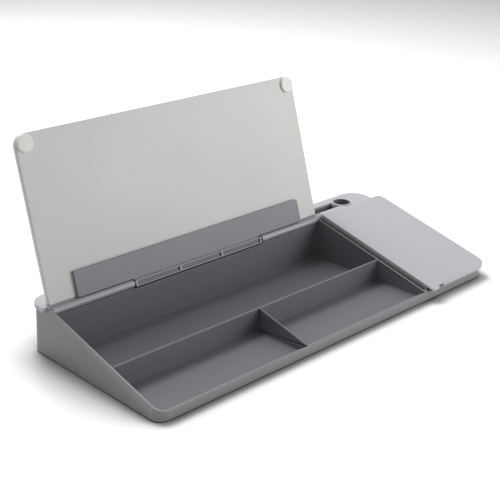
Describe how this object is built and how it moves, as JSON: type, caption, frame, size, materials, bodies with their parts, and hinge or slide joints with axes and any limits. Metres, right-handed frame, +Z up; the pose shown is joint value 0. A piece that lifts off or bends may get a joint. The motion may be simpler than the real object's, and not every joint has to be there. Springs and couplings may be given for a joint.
{
  "type": "desk whiteboard easel",
  "caption": "Wedge desk tray with a magnetic writing board that flips up on a long friction hinge, a lift-off side lid, pen trays, a phone slot and a pen cup",
  "frame": {"origin": "middle of the outline, seen from above, at the level of the desk that the rubber feet stand on, with the board open", "axes": "+X to the user's right along the hinge, +Y from the user towards the rear, +Z up"},
  "size_m": [0.4036, 0.185, 0.173],
  "materials": {
    "base_grey": "fine matt moulding",
    "deck_silver": "satin silver moulding",
    "trough_grey": "matt moulding",
    "bar_grey": "satin moulding",
    "flap_grey": "matt moulding",
    "washer_black": "matt acetal",
    "steel": "plain rolled",
    "tape_white": "foam tape",
    "backing_grey": "smooth panel",
    "glass_white": "back-painted safety glass",
    "bumper_clear": "milky silicone",
    "foot_black": "matt rubber"
  },
  "bodies": {
    "base": {"base_shell": "base_grey", "long_divider": "base_grey", "cross_divider": "base_grey", "top_deck": "deck_silver", "slot_trough": "trough_grey", "pen_cup": "deck_silver", "hinge_bar_left": "bar_grey", "hinge_bar_right": "bar_grey", "hinge_rod": "steel", "friction_washers": "washer_black", "rubber_feet": "foot_black"},
    "board": {"hinge_flap": "flap_grey", "flap_tape": "tape_white", "backing_panel": "backing_grey", "steel_sheet": "steel", "writing_glass": "glass_white", "bumper_left": "bumper_clear", "bumper_right": "bumper_clear"},
    "lid": {"side_lid": "deck_silver"}
  },
  "joints": [
    {"name": "board_hinge", "type": "hinge", "parent": "base", "child": "board", "pos_m": [0, 0.04396, 0.0399], "axis": [1, 0, 0], "range_deg": [0, 120.2]},
    {"name": "lid_lift", "type": "slide", "parent": "base", "child": "lid", "axis": [0, 0, 1], "range_m": [0, 0.06]}
  ]
}
